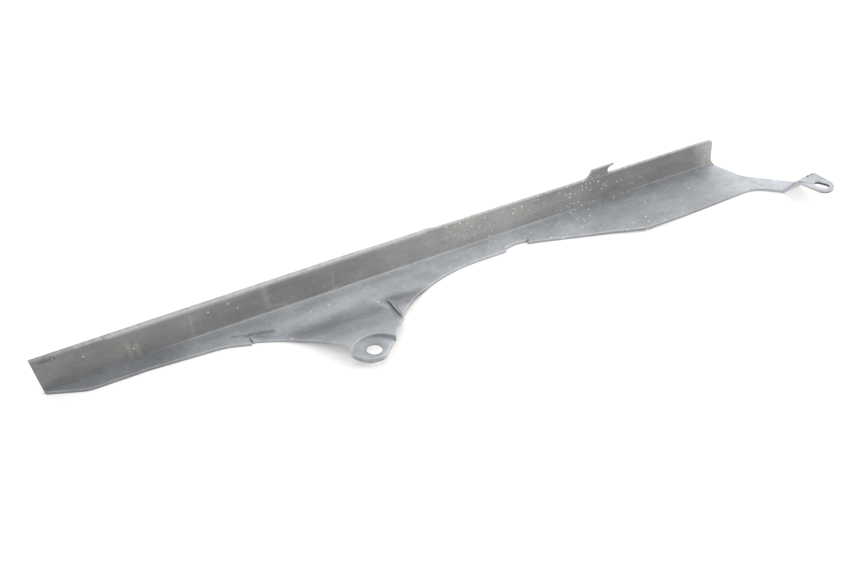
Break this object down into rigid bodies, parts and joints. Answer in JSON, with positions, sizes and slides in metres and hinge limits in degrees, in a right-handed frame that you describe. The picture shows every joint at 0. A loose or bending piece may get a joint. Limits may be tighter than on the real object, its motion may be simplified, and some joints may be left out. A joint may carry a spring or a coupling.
{
  "type": "motorcycle chain guard",
  "caption": "One-piece moulded guard of L section that covers the upper run of a drive chain, with a raised mounting ear, a folded front tab with a slot and a small edge hook.",
  "frame": {"origin": "middle of the whole guard's box, at its bottom, on the outer face of the side wall that it lies on", "axes": "+X along the bend from the rear end to the front tab, +Y from the side wall's free edge to the top wall, +Z from the side wall's outer face to its chain side"},
  "size_m": [0.5462, 0.0854, 0.0298],
  "materials": {
    "worn_plastic": "worn satin, scuffed and dusty"
  },
  "bodies": {
    "root": {"chain_guard": "worn_plastic"}
  },
  "joints": []
}
